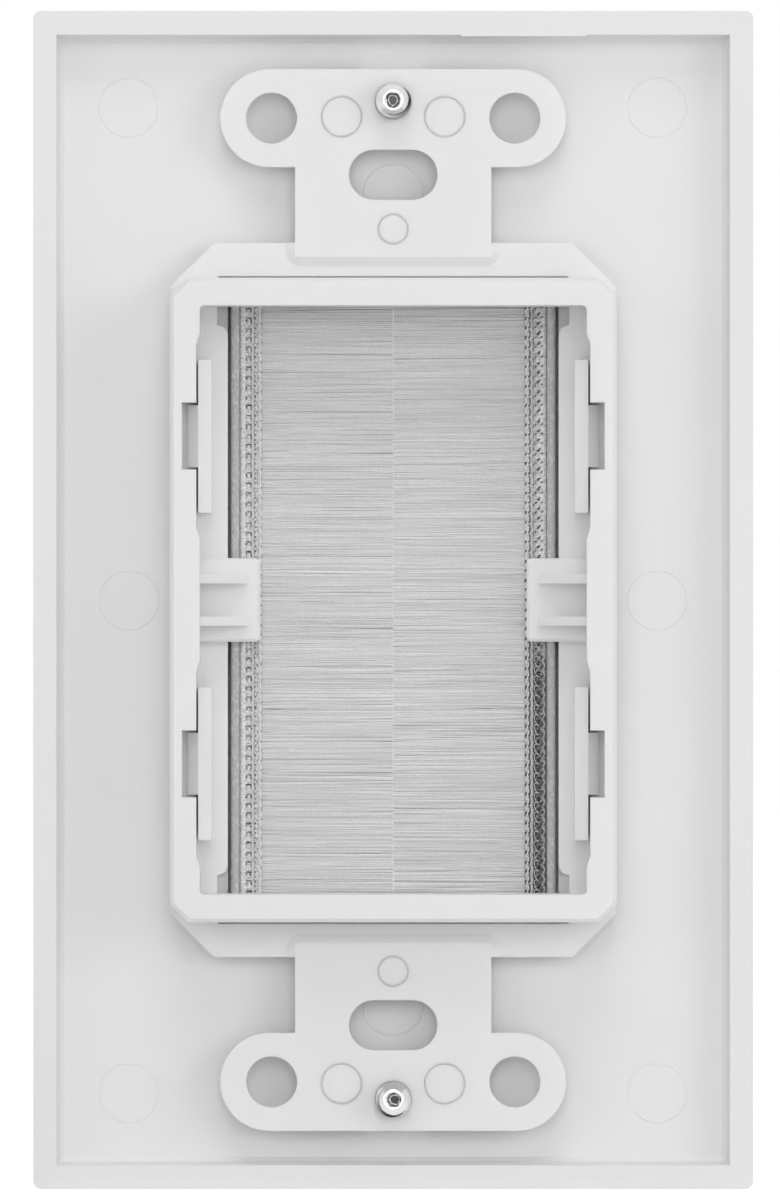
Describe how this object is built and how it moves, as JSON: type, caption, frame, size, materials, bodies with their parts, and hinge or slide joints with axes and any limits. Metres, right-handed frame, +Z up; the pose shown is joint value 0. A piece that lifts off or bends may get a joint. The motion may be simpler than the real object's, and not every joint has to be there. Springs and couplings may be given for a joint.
{
  "type": "brush wall plate",
  "caption": "Wall plate with a rectangular cable window closed by opposed nylon brush strips, a rear box with snap latches and a strap with mounting slots.",
  "frame": {"origin": "the middle of the plate on the wall surface, where the rim of the cover and the backs of the ears rest", "axes": "+Z up along the plate's height, +Y into the wall box, -Y out into the room, +X to the right seen from the room"},
  "size_m": [0.0698, 0.0135, 0.1142],
  "materials": {
    "cover_plastic": "moulded satin gloss",
    "strap_plastic": "moulded satin",
    "bezel_plastic": "moulded satin gloss",
    "nylon_filament": "translucent filament",
    "core_steel": "drawn wire",
    "stitch_thread": "twisted thread",
    "screw_steel": "nickel plated, head painted white"
  },
  "bodies": {
    "root": {"cover_plate": "cover_plastic", "strap_frame": "strap_plastic", "brush_bezel": "bezel_plastic", "right_bristles": "nylon_filament", "left_bristles": "nylon_filament", "right_core_wire": "core_steel", "left_core_wire": "core_steel", "right_ladder_stitch": "stitch_thread", "left_ladder_stitch": "stitch_thread", "right_edge_stitch": "stitch_thread", "left_edge_stitch": "stitch_thread", "top_cover_screw": "screw_steel", "bottom_cover_screw": "screw_steel"}
  },
  "joints": []
}
